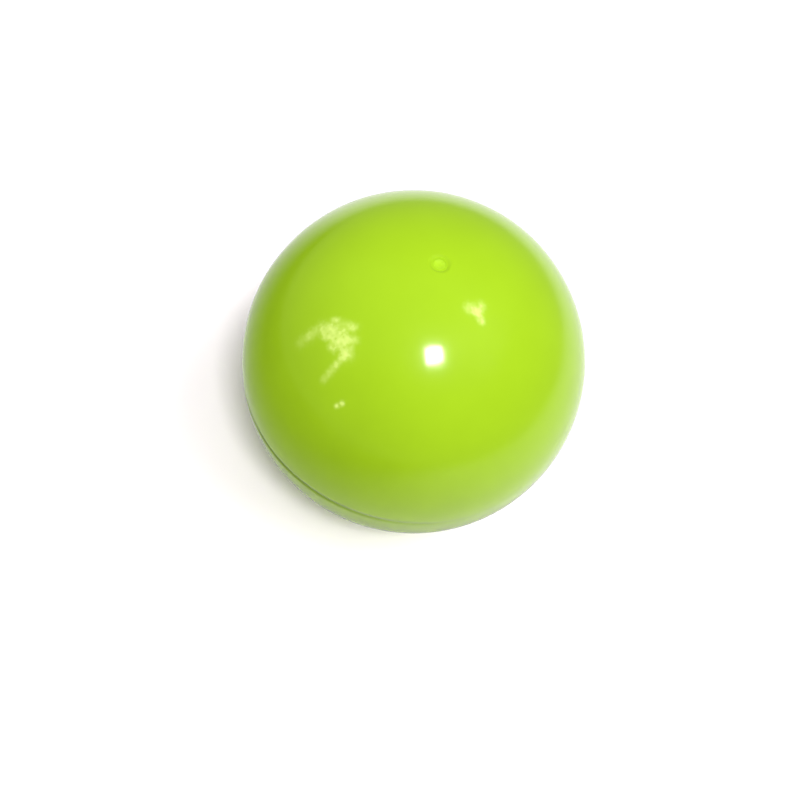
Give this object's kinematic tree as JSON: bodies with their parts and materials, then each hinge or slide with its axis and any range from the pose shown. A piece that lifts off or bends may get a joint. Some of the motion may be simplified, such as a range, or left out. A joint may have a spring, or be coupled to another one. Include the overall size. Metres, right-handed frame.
{
  "type": "playground ball",
  "caption": "Round inflated rubber playground ball with a two-half moulded cover, thread winding, air bladder and pull-out needle valve, for bouncing, throwing and catching.",
  "frame": {"origin": "centre of the ball, level with the mould seam", "axes": "+Z out through the valve, with the mould seam in the XY plane; the ball is round about Z"},
  "size_m": [0.216, 0.216, 0.2159],
  "materials": {
    "cover_rubber": "gloss",
    "winding_thread": "matte",
    "bladder_rubber": "satin",
    "patch_rubber": "matte",
    "housing_rubber": "satin",
    "core_rubber": "satin"
  },
  "bodies": {
    "ball": {"cover_upper": "cover_rubber", "cover_lower": "cover_rubber", "nylon_winding": "winding_thread", "bladder": "bladder_rubber", "valve_patch": "patch_rubber", "valve_housing": "housing_rubber"},
    "core": {"valve_core": "core_rubber"}
  },
  "joints": [
    {"name": "valve_core_pull", "type": "slide", "parent": "ball", "child": "core", "axis": [0, 0, 1], "range_m": [0, 0.025]}
  ]
}
